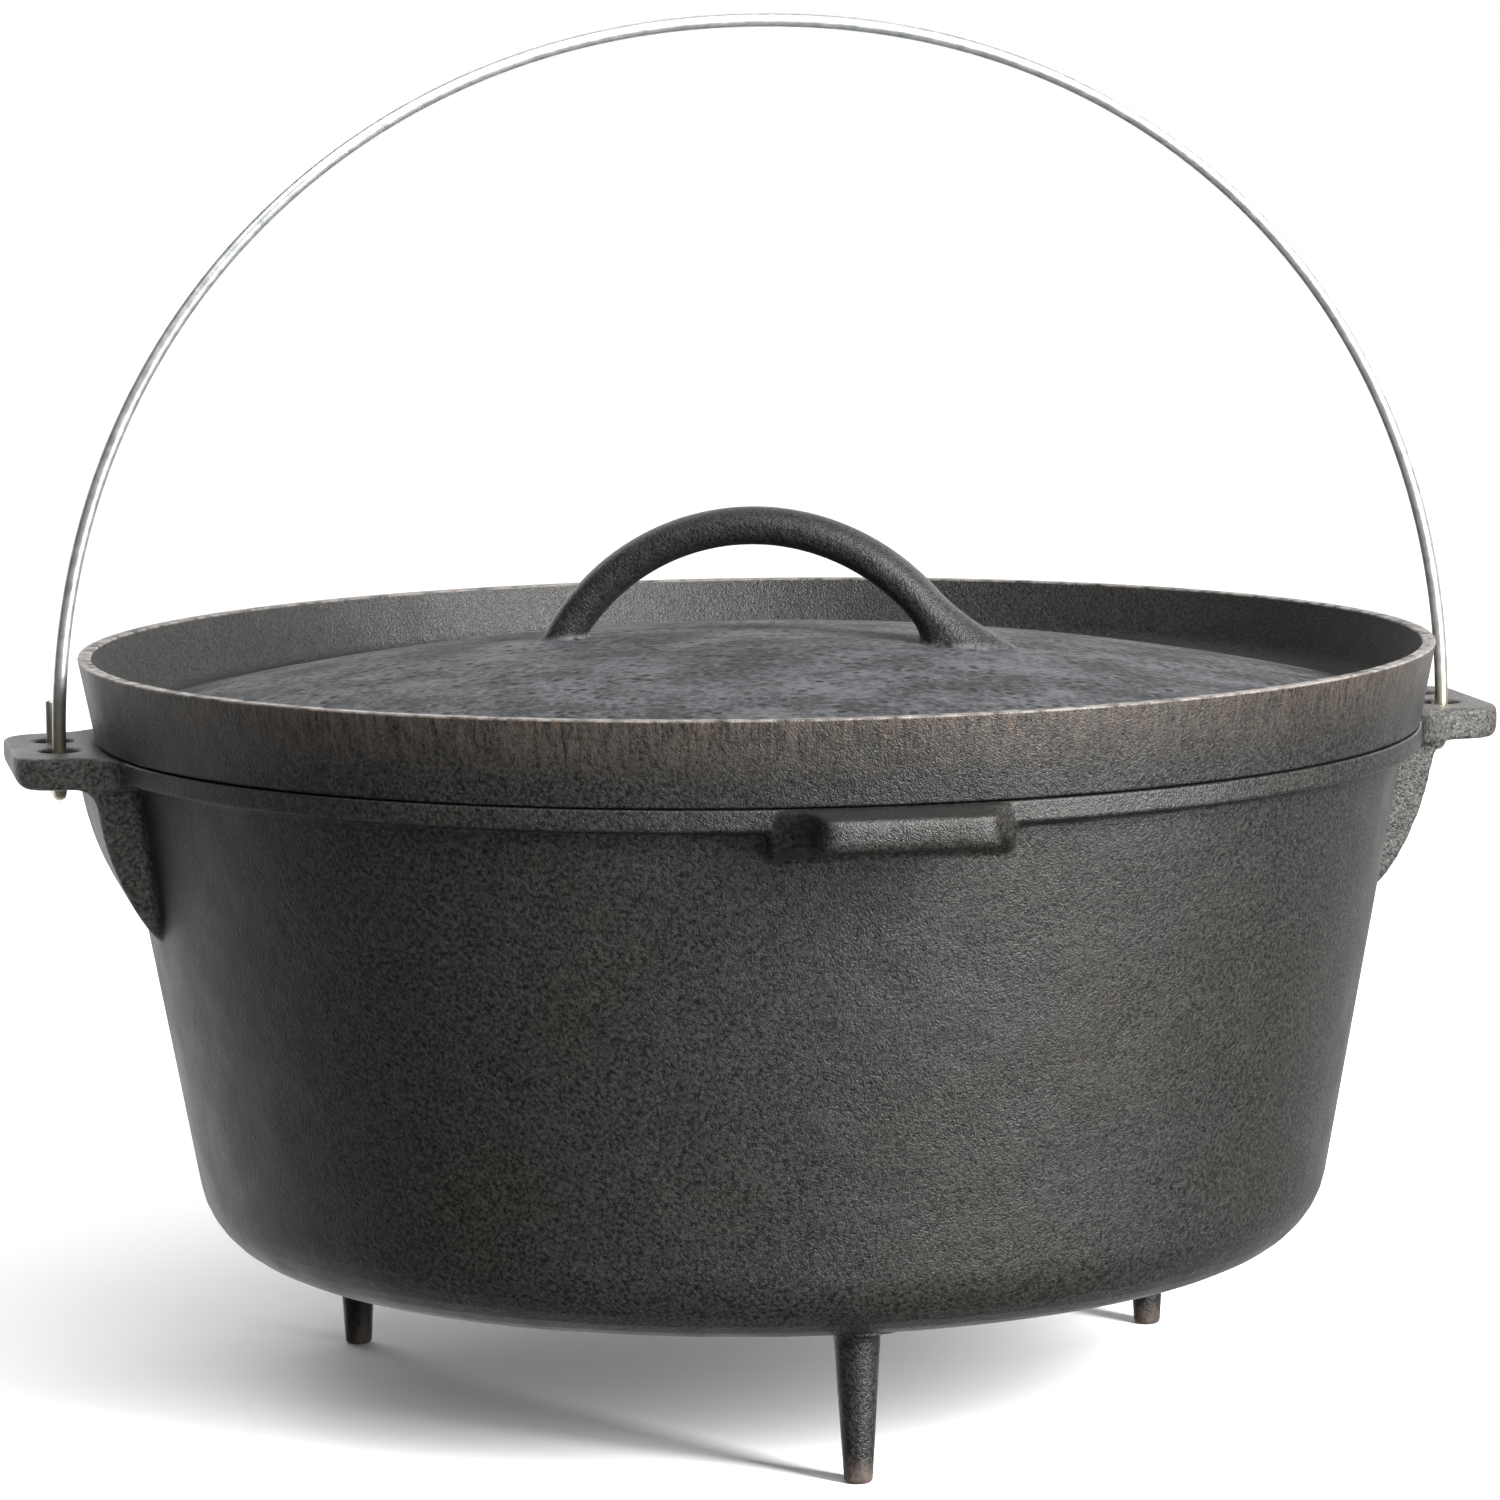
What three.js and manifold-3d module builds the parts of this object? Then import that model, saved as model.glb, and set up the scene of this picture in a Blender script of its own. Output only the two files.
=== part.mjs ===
// Three-legged cast iron camp dutch oven: a deep round pot with two bored ears and a
// lifting tab, a flanged lid with a cast arched handle, and a bent wire bail.
// Millimetres, +Z up. The origin is on the pot's axis at the ground, the ears lie on X
// and the lifting tab points to -Y.
import * as THREE from 'three';
import { mergeVertices } from 'three/addons/utils/BufferGeometryUtils.js';
import Module from 'manifold-3d';

const wasm = await Module();
wasm.setup();

// ---------------------------------------------------------------- driving dimensions

const degrees = Math.PI / 180;

// Pot body
const legHeight = 36.7;            // ground to the underside of the bottom
const potDepth = 127.6;            // underside of the bottom to the rim's top face
const potTopRadius = 158.3;        // outside of the wall where the rim band starts
const wallDraft = 10.2 * degrees;  // lean of the wall from upright
const potCornerRadius = 21;        // outside fillet between bottom and wall
const wallThickness = 5.2;
const floorThickness = 5.5;
const bandProud = 4.8;             // how far the rim band stands out from the wall
const bandHeight = 5.8;
const mouthInset = 10.1;           // rim's top face, measured inwards from the band
const edgeBreak = 0.6;             // chamfer on the rim's edges
const rootSink = 0.4;              // edges of what grows out of the wall, sunk in it
const potSegments = 72;

// Legs
const legInset = 23.4;             // bottom's outer edge to the middle of a leg
const legAngles = [-90, 18, 147];  // degrees from +X, as the casting carries them
const legTipRadius = 3.3;
const legRootRadius = 5.6;
const legTipRound = 1.1;
const legSegments = 16;

// Ears
const earEdge = 11.8;              // middle of the wire to the ear's outer face
const earThickness = 7.8;
const earRise = 0.7;               // ear's top face above the rim's top face
const earHalfWidth = 27.5;
const earCornerRadius = 9;
const earRootHalfWidth = 38;       // where the ear's sides sweep out to the rim
const earBottomRound = 3.6;
const gussetHalfWidthTop = 29;
const gussetHalfWidthBottom = 24;
const gussetDepth = 38.6;          // ear's underside to the gusset's toe
const gussetWireGap = 5.1;         // wire to the gusset's face
const gussetFillet = 5;
const gussetBelly = 3.2;           // how far the gusset's face bows outwards

// Bail
const wireDiameter = 3.3;
const bailLidGap = 4.35;           // lid's top edge to the wire in the ears
const bailRise = 171.6;            // ear's top face to the middle of the wire at the top
const bailFullness = 2.085;        // superellipse exponent, 2 is an ellipse
const hookSpacing = 21;            // between the two arms of each hooked end
const hookBendRadius = 4.2;        // to the middle of the wire
const hookSlack = 1.7;             // under the ear, so that the bail can rock
const stubHeight = 9.8;            // free end above the ear's top face
const wireSides = 10;
const archSteps = 64;

// Ear holes
const holeClearance = 3;           // on the wire's radius, so that the bail can rock
const holeSegments = 24;

// Lifting tab
const tabLength = 17.9;            // rim band to the tab's outer face
const tabHalfWidth = 20.5;
const tabThickness = 7.8;
const tabCornerRadius = 4.5;
const tabRootHalfWidth = 28;
const tabBottomRound = 2.4;

// Lid
const lidSeatGap = 0.3;            // between the lid's seat and the rim's top face
const lidInset = 0.5;              // rim band to the flange, at the seat
const lidFlangeFlare = 3.9;        // flange's lean outwards over its height
const lidFlangeHeight = 20.05;
const lidFlangeTopThickness = 3.2;
const lidFlangeBaseThickness = 4.3;
const lidPlateThickness = 5;
const domeAboveRim = 1.7;          // crown of the lid above the flange's top edge
const flangeFillet = 5.3;          // between the dome and the inside of the flange
const beadDepth = 2.4;             // locating bead under the lid
const beadMouthGap = 1.6;          // bead to the pot's mouth
const beadWidth = 4.5;
const lidEarGap = 1.5;             // lid to the raised step of the ears
const lidSegments = 72;

// Lid handle
const handleArcRadius = 57;        // of the bar's middle line
const handleTopAboveRim = 33.3;    // top of the bar above the flange's top edge
const handleTurn = -24.4 * degrees; // from the ears' line, seen from above
const handleBarHeight = 9.4;
const handleBarWidth = 12.5;
const handleFootSink = 6.2;        // bar's ends below the dome's surface, then trimmed
const handleFlareLength = 20;      // along the bar, over which it spreads into a foot
const handleBroadFootHeight = 29;  // section in the arc's plane, at the broad foot's end
const handleBroadFootWidth = 20;   // section across the arc's plane, at the broad foot's end
const handleSlimFootHeight = 8.4;
const handleSlimFootWidth = 13.5;
const handleSides = 16;
const handleSteps = 30;

// ---------------------------------------------------------------- worked-out sizes

const rimZ = legHeight + potDepth;
const bandRadius = potTopRadius + bandProud;
const bandBottomZ = rimZ - bandHeight;
const mouthRadius = bandRadius - mouthInset;
const wallSlope = Math.tan(wallDraft);

const legCircleRadius = wallRadiusAt(legHeight) - legInset;

const seatZ = rimZ + lidSeatGap;
const lidRimZ = seatZ + lidFlangeHeight;
const lidBaseRadius = bandRadius - lidInset;
const lidRimRadius = lidBaseRadius + lidFlangeFlare;
const domeEdgeRadius = lidBaseRadius - lidFlangeBaseThickness - flangeFillet;
const domeEdgeZ = seatZ + lidPlateThickness;
const crownZ = lidRimZ + domeAboveRim;
const domeRise = crownZ - domeEdgeZ;
const domeRadius = (domeEdgeRadius ** 2 + domeRise ** 2) / (2 * domeRise);

const wireRadius = wireDiameter / 2;
const holeRadius = wireRadius + holeClearance;
const bailHalfSpan = lidRimRadius + bailLidGap + wireRadius; // pot axis to the wire
const earReach = bailHalfSpan + earEdge;
const earTopZ = rimZ + earRise;
const earBottomZ = earTopZ - earThickness;
const hingeZ = (earTopZ + earBottomZ) / 2;
const hookCrossZ = earBottomZ - hookSlack - wireRadius;
const gussetFaceReach = bailHalfSpan - wireRadius - gussetWireGap;
const tabReach = bandRadius + tabLength;

/** Outside radius of the pot's wall at height z. */
function wallRadiusAt(z) {
  return potTopRadius - (bandBottomZ - z) * wallSlope;
}

/** Height of the lid's domed upper surface at radius r. */
function domeZAt(r) {
  return crownZ - (domeRadius - Math.sqrt(domeRadius ** 2 - r ** 2));
}

// ---------------------------------------------------------------- shared helpers

/** Points of an arc in a 2-D outline, from startAngle to endAngle in radians. */
function arcPoints(cx, cy, radius, startAngle, endAngle, steps) {
  const points = [];
  for (let i = 0; i <= steps; i += 1) {
    const angle = startAngle + ((endAngle - startAngle) * i) / steps;
    points.push(new THREE.Vector2(cx + radius * Math.cos(angle), cy + radius * Math.sin(angle)));
  }
  return points;
}

/** Turns an outline's corner into a fillet tangent to both of its sides. */
function filletPoints(before, corner, after, radius, steps) {
  const a = before.clone().sub(corner).normalize();
  const b = after.clone().sub(corner).normalize();
  const half = Math.acos(THREE.MathUtils.clamp(a.dot(b), -1, 1)) / 2;
  const reach = radius / Math.tan(half);
  const centre = a.clone().add(b).normalize().multiplyScalar(radius / Math.sin(half)).add(corner);
  const start = corner.clone().addScaledVector(a, reach).sub(centre);
  const end = corner.clone().addScaledVector(b, reach).sub(centre);
  let turn = end.angle() - start.angle();
  if (turn > Math.PI) turn -= 2 * Math.PI;
  if (turn < -Math.PI) turn += 2 * Math.PI;
  return arcPoints(centre.x, centre.y, radius, start.angle(), start.angle() + turn, steps);
}

/** A closed BufferGeometry as a manifold solid. */
function solidFrom(geometry) {
  const bare = geometry.clone();
  bare.deleteAttribute('normal');
  bare.deleteAttribute('uv');
  const merged = mergeVertices(bare, 1e-4);
  const mesh = new wasm.Mesh({
    numProp: 3,
    vertProperties: new Float32Array(merged.attributes.position.array),
    triVerts: new Uint32Array(merged.index.array),
  });
  return new wasm.Manifold(mesh);
}

/** A manifold solid as a named three.js mesh. */
function meshFrom(name, solid, material) {
  const result = solid.getMesh();
  const geometry = new THREE.BufferGeometry();
  geometry.setAttribute('position', new THREE.BufferAttribute(new Float32Array(result.vertProperties), 3));
  geometry.setIndex(new THREE.BufferAttribute(new Uint32Array(result.triVerts), 1));
  geometry.computeVertexNormals();
  const mesh = new THREE.Mesh(geometry, material);
  mesh.name = name;
  return mesh;
}

/** A body of revolution about Z from an outline of (radius, height) points. */
function revolved(outline, segments) {
  return solidFrom(new THREE.LatheGeometry(outline, segments).rotateX(Math.PI / 2));
}

/** An outline in plan, extruded upwards from bottomZ. */
function extrudedUp(outline, bottomZ, height) {
  const shape = new THREE.Shape(outline);
  const geometry = new THREE.ExtrudeGeometry(shape, { depth: height, bevelEnabled: false });
  return solidFrom(geometry.translate(0, 0, bottomZ));
}

/** An outline of (reach, height) points, extruded to both sides of the XZ plane. */
function extrudedAcross(outline, halfWidth) {
  const shape = new THREE.Shape(outline);
  const geometry = new THREE.ExtrudeGeometry(shape, { depth: 2 * halfWidth, bevelEnabled: false });
  return solidFrom(geometry.rotateX(Math.PI / 2).translate(0, halfWidth, 0));
}

/** An outline of (sideways, height) points, extruded along +X. */
function extrudedOutwards(outline, startX, length) {
  const shape = new THREE.Shape(outline);
  const geometry = new THREE.ExtrudeGeometry(shape, { depth: length, bevelEnabled: false });
  return solidFrom(geometry.rotateX(Math.PI / 2).rotateZ(Math.PI / 2).translate(startX, 0, 0));
}

/**
 * A closed bar along a list of points. size(i) gives the half-sizes of its oval section:
 * x along the side direction, y square to it. firstSide is the side direction at the start.
 */
function sweptBar(points, firstSide, sides, size) {
  const rings = points.length;
  const geometry = new THREE.CylinderGeometry(1, 1, rings - 1, sides, rings - 1);
  const side = firstSide.clone();
  const frames = points.map((point, i) => {
    const ahead = points[Math.min(i + 1, rings - 1)];
    const behind = points[Math.max(i - 1, 0)];
    const tangent = ahead.clone().sub(behind).normalize();
    side.addScaledVector(tangent, -side.dot(tangent)).normalize();
    return { point, side: side.clone(), up: tangent.clone().cross(side) };
  });
  const position = geometry.attributes.position;
  for (let i = 0; i < position.count; i += 1) {
    const ring = Math.round(position.getY(i) + (rings - 1) / 2);
    const frame = frames[ring];
    const half = size(ring);
    const place = frame.point.clone();
    place.addScaledVector(frame.side, position.getZ(i) * half.x);
    place.addScaledVector(frame.up, position.getX(i) * half.y);
    position.setXYZ(i, place.x, place.y, place.z);
  }
  return solidFrom(geometry);
}

// ---------------------------------------------------------------- pot

/** Outside of the pot, closed across the top at the given height. */
function potOutside(topZ) {
  const axis = new THREE.Vector2(0, legHeight);
  const corner = new THREE.Vector2(wallRadiusAt(legHeight), legHeight);
  const underBand = new THREE.Vector2(potTopRadius, bandBottomZ);
  return [
    axis,
    ...filletPoints(axis, corner, underBand, potCornerRadius, 9),
    underBand,
    new THREE.Vector2(bandRadius - edgeBreak, bandBottomZ + edgeBreak),
    new THREE.Vector2(bandRadius, bandBottomZ + 2 * edgeBreak),
    new THREE.Vector2(bandRadius, rimZ - edgeBreak),
    new THREE.Vector2(bandRadius - edgeBreak, rimZ),
    new THREE.Vector2(bandRadius - edgeBreak, topZ),
    new THREE.Vector2(0, topZ),
  ];
}

/** Inside of the pot, run up through the mouth so that it cuts the rim open. */
function potInside() {
  const floorZ = legHeight + floorThickness;
  const wallNormal = wallThickness / Math.cos(wallDraft);
  const cavityCornerRadius = potCornerRadius - wallThickness;
  const axis = new THREE.Vector2(0, floorZ);
  const corner = new THREE.Vector2(wallRadiusAt(floorZ) - wallNormal, floorZ);
  const neckZ = bandBottomZ - bandHeight;
  const neck = new THREE.Vector2(wallRadiusAt(neckZ) - wallNormal, neckZ);
  return [
    axis,
    ...filletPoints(axis, corner, neck, cavityCornerRadius, 8),
    neck,
    new THREE.Vector2(mouthRadius, bandBottomZ),
    new THREE.Vector2(mouthRadius, rimZ - edgeBreak),
    new THREE.Vector2(mouthRadius + edgeBreak, rimZ),
    new THREE.Vector2(mouthRadius + edgeBreak, earTopZ + earThickness),
    new THREE.Vector2(0, earTopZ + earThickness),
  ];
}

/** The space above the rim that the lid's flange needs between the ears. */
function lidSpace() {
  const radius = lidBaseRadius + lidEarGap;
  return [
    new THREE.Vector2(0, rimZ),
    new THREE.Vector2(radius, rimZ),
    new THREE.Vector2(radius, earTopZ + earThickness),
    new THREE.Vector2(0, earTopZ + earThickness),
  ];
}

/** Plan outline of a lug that grows out of the rim and sweeps out to it at its root. */
function lugOutline(reach, halfWidth, rootHalfWidth, cornerRadius) {
  const inside = wallRadiusAt(bandBottomZ) - wallThickness / 2;
  const rootReach = Math.sqrt(bandRadius ** 2 - rootHalfWidth ** 2) - edgeBreak;
  const sweep = rootHalfWidth - halfWidth;
  const corner = new THREE.Vector2(reach, halfWidth);
  const shoulder = new THREE.Vector2(rootReach + sweep, halfWidth);
  const upper = [
    ...filletPoints(new THREE.Vector2(reach, 0), corner, shoulder, cornerRadius, 7),
    ...filletPoints(corner, shoulder, new THREE.Vector2(rootReach, rootHalfWidth), sweep, 5),
    new THREE.Vector2(rootReach, rootHalfWidth),
    new THREE.Vector2(Math.sqrt(inside ** 2 - rootHalfWidth ** 2), rootHalfWidth),
  ];
  const lower = upper.map((point) => new THREE.Vector2(point.x, -point.y)).reverse();
  return [...lower, ...upper];
}

/** Side outline of an ear's plate and the bowed gusset under it. */
function earSideOutline() {
  const inside = wallRadiusAt(bandBottomZ) - wallThickness / 2;
  const toeZ = earBottomZ - gussetDepth;
  const toe = new THREE.Vector2(wallRadiusAt(toeZ) - rootSink, toeZ);
  const face = new THREE.Vector2(gussetFaceReach, earBottomZ);
  const middle = toe.clone().add(face).multiplyScalar(0.5);
  const bow = face.clone().sub(toe).normalize().rotateAround(new THREE.Vector2(), -Math.PI / 2);
  const belly = new THREE.QuadraticBezierCurve(toe, middle.addScaledVector(bow, 2 * gussetBelly), face);
  const bellyPoints = belly.getPoints(10);
  const below = bellyPoints[bellyPoints.length - 2];
  const outerCorner = new THREE.Vector2(earReach, earBottomZ);
  return [
    new THREE.Vector2(inside - gussetDepth * wallSlope, toeZ),
    ...bellyPoints.slice(0, -2),
    ...filletPoints(below, face, outerCorner, gussetFillet, 6),
    ...filletPoints(face, outerCorner, new THREE.Vector2(earReach, earTopZ), earBottomRound, 5),
    new THREE.Vector2(earReach, earTopZ),
    new THREE.Vector2(inside, earTopZ),
  ];
}

/** Front outline of the gusset: it narrows downwards and ends round. */
function gussetFrontOutline() {
  const toeZ = earBottomZ - gussetDepth;
  const topRight = new THREE.Vector2(gussetHalfWidthTop, earBottomZ);
  const toeRight = new THREE.Vector2(gussetHalfWidthBottom, toeZ);
  const toeLeft = new THREE.Vector2(-gussetHalfWidthBottom, toeZ);
  const right = filletPoints(topRight, toeRight, toeLeft, earCornerRadius, 6);
  const left = right.map((point) => new THREE.Vector2(-point.x, point.y)).reverse();
  const plateTop = [
    new THREE.Vector2(-earRootHalfWidth, earBottomZ),
    new THREE.Vector2(-earRootHalfWidth, earTopZ),
    new THREE.Vector2(earRootHalfWidth, earTopZ),
    new THREE.Vector2(earRootHalfWidth, earBottomZ),
  ];
  return [...plateTop, topRight, ...right, ...left, new THREE.Vector2(-gussetHalfWidthTop, earBottomZ)];
}

/** The ear on the +X side, without its holes. */
function ear() {
  const toeZ = earBottomZ - gussetDepth;
  const inside = wallRadiusAt(toeZ) - wallThickness;
  const sideView = extrudedAcross(earSideOutline(), earRootHalfWidth);
  const planView = extrudedUp(
    lugOutline(earReach, earHalfWidth, earRootHalfWidth, earCornerRadius),
    earBottomZ,
    earThickness,
  );
  const underPlate = extrudedOutwards(gussetFrontOutline(), inside, earReach - inside);
  const wholeHeight = extrudedUp(
    lugOutline(earReach, earHalfWidth, earRootHalfWidth, earCornerRadius),
    toeZ,
    gussetDepth,
  );
  const gusset = sideView.intersect(underPlate).intersect(wholeHeight.add(gussetCore(toeZ)));
  return sideView.intersect(planView).add(gusset);
}

/** Fills the plan outline back to the wall, so that the gusset's toe is not cut off. */
function gussetCore(toeZ) {
  const inside = wallRadiusAt(toeZ) - wallThickness;
  const outline = [
    new THREE.Vector2(inside, -gussetHalfWidthTop),
    new THREE.Vector2(bandRadius, -gussetHalfWidthTop),
    new THREE.Vector2(bandRadius, gussetHalfWidthTop),
    new THREE.Vector2(inside, gussetHalfWidthTop),
  ];
  return extrudedUp(outline, toeZ, gussetDepth);
}

/** The bores through both ears that the bail's hooked ends pass through. */
function earHoles() {
  const bores = [];
  for (const side of [-1, 1]) {
    for (const end of [-1, 1]) {
      const bore = new THREE.CylinderGeometry(holeRadius, holeRadius, 2 * earThickness, holeSegments);
      bore.rotateX(Math.PI / 2).translate(side * bailHalfSpan, (end * hookSpacing) / 2, hingeZ);
      bores.push(solidFrom(bore));
    }
  }
  return bores.reduce((sum, bore) => sum.add(bore));
}

/** Side outline of the lifting tab, turned so that its reach lies on +X. */
function tabSideOutline() {
  const inside = wallRadiusAt(bandBottomZ) - wallThickness / 2;
  const bottomZ = rimZ - tabThickness;
  const heelZ = bottomZ - tabThickness / 2;
  const outerCorner = new THREE.Vector2(tabReach, bottomZ);
  const root = new THREE.Vector2(wallRadiusAt(bottomZ) + bandProud, bottomZ);
  const heel = new THREE.Vector2(wallRadiusAt(heelZ) - rootSink, heelZ);
  return [
    new THREE.Vector2(inside, heelZ),
    heel,
    ...filletPoints(heel, root, outerCorner, bandProud, 4),
    ...filletPoints(root, outerCorner, new THREE.Vector2(tabReach, rimZ), tabBottomRound, 4),
    new THREE.Vector2(tabReach, rimZ),
    new THREE.Vector2(inside, rimZ),
  ];
}

/** The lifting tab under the lid's flange at -Y. */
function liftingTab() {
  const sideView = extrudedAcross(tabSideOutline(), tabRootHalfWidth);
  const outline = lugOutline(tabReach, tabHalfWidth, tabRootHalfWidth, tabCornerRadius);
  const planView = extrudedUp(outline, rimZ - 2 * tabThickness, 2 * tabThickness);
  return sideView.intersect(planView).rotate([0, 0, -90]);
}

/** One tapered leg, from inside the pot's floor down to its flat tip. */
function leg(angle) {
  const topZ = legHeight + floorThickness / 2;
  const radiusAt = (z) => legTipRadius + ((legRootRadius - legTipRadius) * z) / legHeight;
  const outline = [
    new THREE.Vector2(0, 0),
    ...filletPoints(
      new THREE.Vector2(0, 0),
      new THREE.Vector2(legTipRadius, 0),
      new THREE.Vector2(radiusAt(topZ), topZ),
      legTipRound,
      4,
    ),
    new THREE.Vector2(radiusAt(topZ), topZ),
    new THREE.Vector2(0, topZ),
  ];
  const x = legCircleRadius * Math.cos(angle * degrees);
  const y = legCircleRadius * Math.sin(angle * degrees);
  return revolved(outline, legSegments).translate([x, y, 0]);
}

function pot() {
  const rightEar = ear();
  const leftEar = rightEar.rotate([0, 0, 180]);
  const ears = rightEar.add(leftEar).subtract(revolved(lidSpace(), potSegments)).subtract(earHoles());
  const body = revolved(potOutside(rimZ), potSegments);
  const legs = legAngles.map(leg).reduce((sum, one) => sum.add(one));
  return body.add(ears).add(liftingTab()).add(legs).subtract(revolved(potInside(), potSegments));
}

// ---------------------------------------------------------------- lid

/** Outline of the lid: domed plate, flange and locating bead, without its handle. */
function lidOutline() {
  const wallFoot = new THREE.Vector2(lidBaseRadius - lidFlangeBaseThickness, domeEdgeZ);
  const wallTop = new THREE.Vector2(lidRimRadius - lidFlangeTopThickness, lidRimZ);
  const domeEdge = new THREE.Vector2(domeEdgeRadius, domeEdgeZ);
  const beadOuter = mouthRadius - beadMouthGap;
  const beadInner = beadOuter - beadDepth - beadWidth;
  const underEdge = beadInner - beadDepth;
  const top = [];
  const under = [];
  const domeSteps = 6;
  for (let i = 0; i < domeSteps; i += 1) {
    const r = (domeEdgeRadius * i) / domeSteps;
    top.push(new THREE.Vector2(r, domeZAt(r)));
  }
  for (let i = 0; i <= domeSteps; i += 1) {
    const r = underEdge * (1 - i / domeSteps);
    under.push(new THREE.Vector2(r, domeZAt(r) - lidPlateThickness));
  }
  return [
    ...under.reverse(),
    new THREE.Vector2(beadInner, seatZ - beadDepth),
    new THREE.Vector2(beadOuter - beadDepth, seatZ - beadDepth),
    new THREE.Vector2(beadOuter, seatZ),
    new THREE.Vector2(lidBaseRadius - edgeBreak, seatZ),
    new THREE.Vector2(lidBaseRadius, seatZ + edgeBreak),
    new THREE.Vector2(lidRimRadius, lidRimZ - edgeBreak / 2),
    new THREE.Vector2(lidRimRadius - edgeBreak / 2, lidRimZ),
    wallTop,
    ...filletPoints(wallTop, wallFoot, domeEdge, flangeFillet, 6),
    ...top.reverse(),
  ];
}

/** The arched handle, with a slim foot at -X and a broad one at +X, both sunk into the dome. */
function lidHandle() {
  const centreZ = lidRimZ + handleTopAboveRim - handleBarHeight / 2 - handleArcRadius;
  const footZ = domeZAt(handleArcRadius) - handleFootSink;
  const footAngle = Math.asin((footZ - centreZ) / handleArcRadius);
  const points = [];
  for (let i = 0; i <= handleSteps; i += 1) {
    const angle = Math.PI - footAngle - ((Math.PI - 2 * footAngle) * i) / handleSteps;
    const reach = handleArcRadius * Math.cos(angle);
    points.push(new THREE.Vector3(reach, 0, centreZ + handleArcRadius * Math.sin(angle)));
  }
  const barLength = handleArcRadius * (Math.PI - 2 * footAngle);
  const size = (ring) => {
    const along = (barLength * ring) / handleSteps;
    const slim = Math.max(0, 1 - along / handleFlareLength) ** 2;
    const broad = Math.max(0, 1 - (barLength - along) / handleFlareLength) ** 2;
    const width = handleBarWidth
      + slim * (handleSlimFootWidth - handleBarWidth)
      + broad * (handleBroadFootWidth - handleBarWidth);
    const height = handleBarHeight
      + slim * (handleSlimFootHeight - handleBarHeight)
      + broad * (handleBroadFootHeight - handleBarHeight);
    return new THREE.Vector2(width / 2, height / 2);
  };
  const bar = sweptBar(points, new THREE.Vector3(0, 1, 0), handleSides, size);
  return bar.rotate([0, 0, handleTurn / degrees]);
}

/** Everything under the dome's surface less half the plate, to trim the handle's feet. */
function underDome() {
  const bottomZ = seatZ - handleBroadFootHeight;
  const outline = [new THREE.Vector2(0, bottomZ), new THREE.Vector2(domeEdgeRadius, bottomZ)];
  const steps = 6;
  for (let i = 0; i <= steps; i += 1) {
    const r = domeEdgeRadius * (1 - i / steps);
    outline.push(new THREE.Vector2(r, domeZAt(r) - lidPlateThickness / 2));
  }
  return outline;
}

function lid() {
  const handle = lidHandle().subtract(revolved(underDome(), lidSegments));
  return revolved(lidOutline(), lidSegments).add(handle);
}

// ---------------------------------------------------------------- bail

/** Middle line of one hooked end, from its free end round under the ear and up. */
function hookPoints(side) {
  const x = side * bailHalfSpan;
  const back = hookSpacing / 2;
  const bendZ = hookCrossZ + hookBendRadius;
  const points = [];
  const steps = 6;
  for (const z of [earTopZ + stubHeight, hingeZ]) {
    points.push(new THREE.Vector3(x, back, z));
  }
  for (const end of [1, -1]) {
    for (let i = 0; i <= steps; i += 1) {
      const turn = ((end > 0 ? i : steps - i) / steps) * (Math.PI / 2);
      const y = end * (back - hookBendRadius + hookBendRadius * Math.cos(turn));
      points.push(new THREE.Vector3(x, y, bendZ - hookBendRadius * Math.sin(turn)));
    }
  }
  points.push(new THREE.Vector3(x, -back, hingeZ));
  return points;
}

/** Middle line of the arch, from the +X ear over to the -X ear. */
function archPoints() {
  const points = [];
  const power = 2 / bailFullness;
  for (let i = 0; i <= archSteps; i += 1) {
    const angle = (Math.PI * i) / archSteps;
    const across = Math.sign(Math.cos(angle)) * Math.abs(Math.cos(angle)) ** power;
    const x = bailHalfSpan * across;
    const z = earTopZ + bailRise * Math.max(Math.sin(angle), 0) ** power;
    points.push(new THREE.Vector3(x, -hookSpacing / 2, z));
  }
  return points;
}

function bail() {
  const points = [...hookPoints(1), ...archPoints(), ...hookPoints(-1).reverse()];
  const section = new THREE.Vector2(wireRadius, wireRadius);
  return sweptBar(points, new THREE.Vector3(1, 0, 0), wireSides, () => section);
}

// ---------------------------------------------------------------- assembly

const seasonedIron = new THREE.MeshStandardMaterial({ color: 0x2c2a27, roughness: 0.6, metalness: 0.35 });
const lidIron = new THREE.MeshStandardMaterial({ color: 0x2a2a2b, roughness: 0.55, metalness: 0.35 });
const galvanisedWire = new THREE.MeshStandardMaterial({ color: 0xa9aba6, roughness: 0.3, metalness: 0.95 });

const oven = new THREE.Group();
oven.add(meshFrom('pot', pot(), seasonedIron));
oven.add(meshFrom('lid', lid(), lidIron));
oven.add(meshFrom('bail', bail(), galvanisedWire));

export default oven;
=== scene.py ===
"""The looks of the cast iron camp oven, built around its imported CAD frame.

The pot and the lid are rebuilt as fine castings: clean turned bodies, with soft sand-cast fillets
where the ears, the lifting tab, the legs and the handle grow out of them. The bail is one smooth
wire. Sizes are in millimetres as in the CAD source, and mesh_from() turns them into metres.
"""

import math

import bmesh
import bpy
from mathutils import Matrix, Vector


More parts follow.
